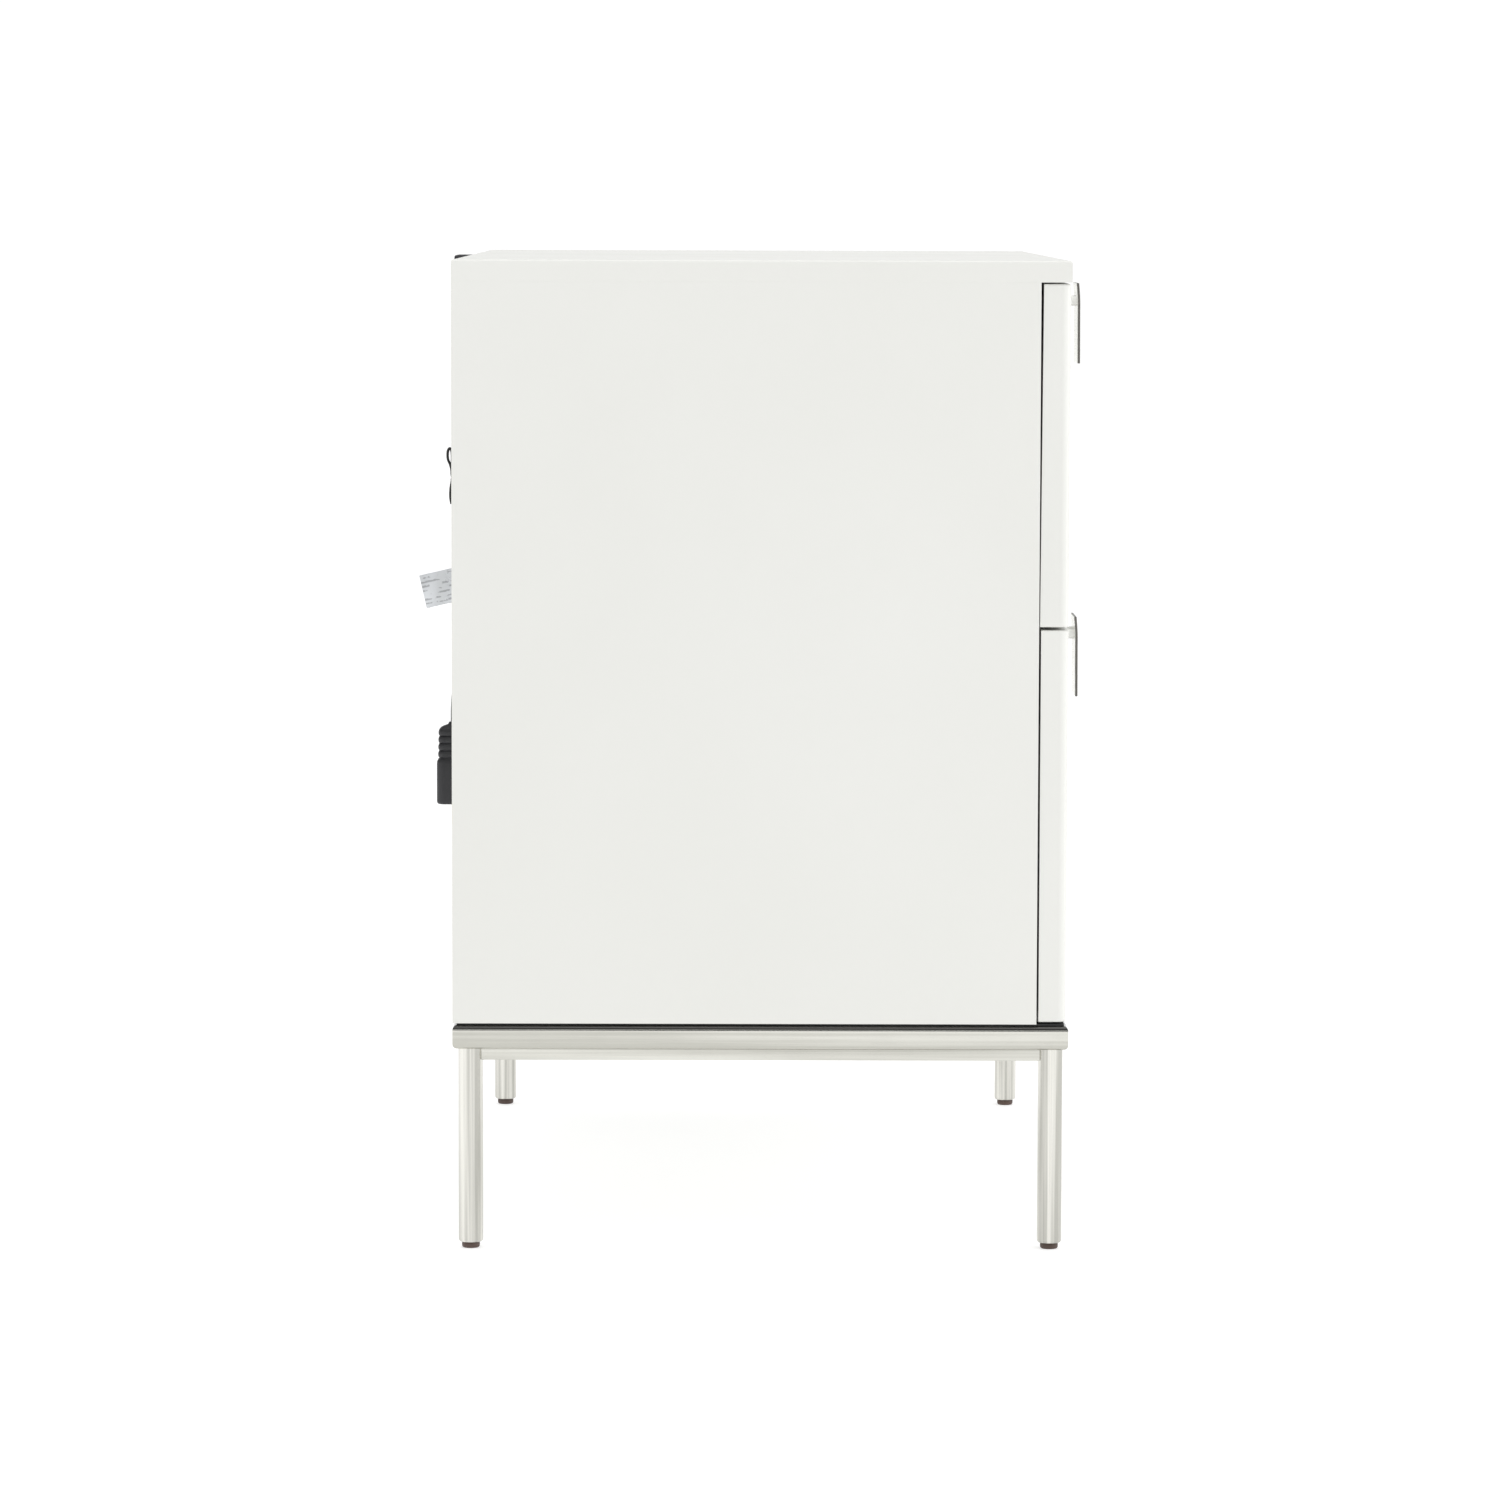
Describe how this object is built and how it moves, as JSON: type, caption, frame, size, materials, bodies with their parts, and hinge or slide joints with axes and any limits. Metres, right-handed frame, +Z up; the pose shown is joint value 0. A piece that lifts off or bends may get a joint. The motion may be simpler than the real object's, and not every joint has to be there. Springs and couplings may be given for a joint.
{
  "type": "uv sterilizer cabinet",
  "caption": "Lacquered cabinet with stacked wide drawers on a polished steel base with round legs, a UV-C lamp over the upper drawer, steel pulls, and a mains lead hung behind it.",
  "frame": {"origin": "on the floor, under the middle of the box around the cabinet, its pulls and its power box, the mains lead left out", "axes": "+Z up, -Y the way the drawers open, +Y towards the back with the power box and the mains lead, +X to the right of someone who faces the drawers"},
  "size_m": [0.7, 0.4877, 0.696],
  "materials": {
    "lacquer": "satin white lacquer",
    "drawer_board": "matt melamine",
    "polished_steel": "polished",
    "zinc_steel": "bright zinc",
    "stainless": "brushed",
    "white_enamel": "gloss",
    "white_plastic": "satin",
    "lamp_glass": "clear",
    "black_plastic": "satin",
    "black_rubber": "matt",
    "brown_plastic": "matt",
    "cord_black": "matt PVC",
    "silver_label": "silver film",
    "brass": "bright"
  },
  "bodies": {
    "case": {"back_panel": "lacquer", "base_bars": "polished_steel", "base_gasket": "black_rubber", "base_rail_back": "polished_steel", "base_rail_front": "polished_steel", "base_rail_left": "polished_steel", "base_rail_right": "polished_steel", "bottom_panel": "lacquer", "case_screws": "zinc_steel", "cord_hank": "cord_black", "cord_strain_relief": "black_plastic", "cord_tag": "silver_label", "cord_tail": "cord_black", "cord_upper": "cord_black", "divider_panel": "lacquer", "feet": "brown_plastic", "hank_tie": "black_rubber", "interlock_switch": "white_plastic", "lamp_fixture_body": "white_enamel", "lamp_holders": "white_plastic", "leg_back_left": "polished_steel", "leg_back_right": "polished_steel", "leg_front_left": "polished_steel", "leg_front_right": "polished_steel", "lower_slide_case_members": "zinc_steel", "plug_blades": "brass", "plug_body": "black_plastic", "power_box": "black_plastic", "side_panel_left": "lacquer", "side_panel_right": "lacquer", "top_panel": "lacquer", "upper_slide_case_members": "zinc_steel", "uv_lamp_tube": "lamp_glass"},
    "upper_drawer": {"upper_drawer_front": "lacquer", "upper_drawer_side_left": "drawer_board", "upper_drawer_side_right": "drawer_board", "upper_drawer_back": "drawer_board", "upper_drawer_floor": "drawer_board", "upper_pull_left": "polished_steel", "upper_pull_right": "polished_steel", "upper_pull_screws": "zinc_steel", "upper_slide_drawer_members": "zinc_steel", "steel_liner": "stainless", "wire_rack": "stainless", "rack_feet": "black_rubber", "interlock_magnet": "white_plastic"},
    "lower_drawer": {"lower_drawer_front": "lacquer", "lower_drawer_side_left": "drawer_board", "lower_drawer_side_right": "drawer_board", "lower_drawer_back": "drawer_board", "lower_drawer_floor": "drawer_board", "lower_pull_left": "polished_steel", "lower_pull_right": "polished_steel", "lower_pull_screws": "zinc_steel", "lower_slide_drawer_members": "zinc_steel"},
    "upper_slide_middles": {"upper_slide_middle_members": "zinc_steel"},
    "lower_slide_middles": {"lower_slide_middle_members": "zinc_steel"},
    "power_switch": {"power_rocker": "black_plastic"}
  },
  "joints": [
    {"name": "upper_drawer_slide", "type": "slide", "parent": "case", "child": "upper_drawer", "axis": [0, -1, 0], "range_m": [0, 0.33]},
    {"name": "upper_slide_middles_slide", "type": "slide", "parent": "case", "child": "upper_slide_middles", "axis": [0, -1, 0], "range_m": [0, 0.165]},
    {"name": "lower_drawer_slide", "type": "slide", "parent": "case", "child": "lower_drawer", "axis": [0, -1, 0], "range_m": [0, 0.33]},
    {"name": "lower_slide_middles_slide", "type": "slide", "parent": "case", "child": "lower_slide_middles", "axis": [0, -1, 0], "range_m": [0, 0.165]},
    {"name": "power_switch_rock", "type": "hinge", "parent": "case", "child": "power_switch", "pos_m": [0, 0.223, 0.655], "axis": [1, 0, 0], "range_deg": [0, 12]}
  ],
  "couplings": [
    {"joint": "upper_slide_middles_slide", "follows": "upper_drawer_slide", "ratio": 0.5},
    {"joint": "lower_slide_middles_slide", "follows": "lower_drawer_slide", "ratio": 0.5}
  ]
}
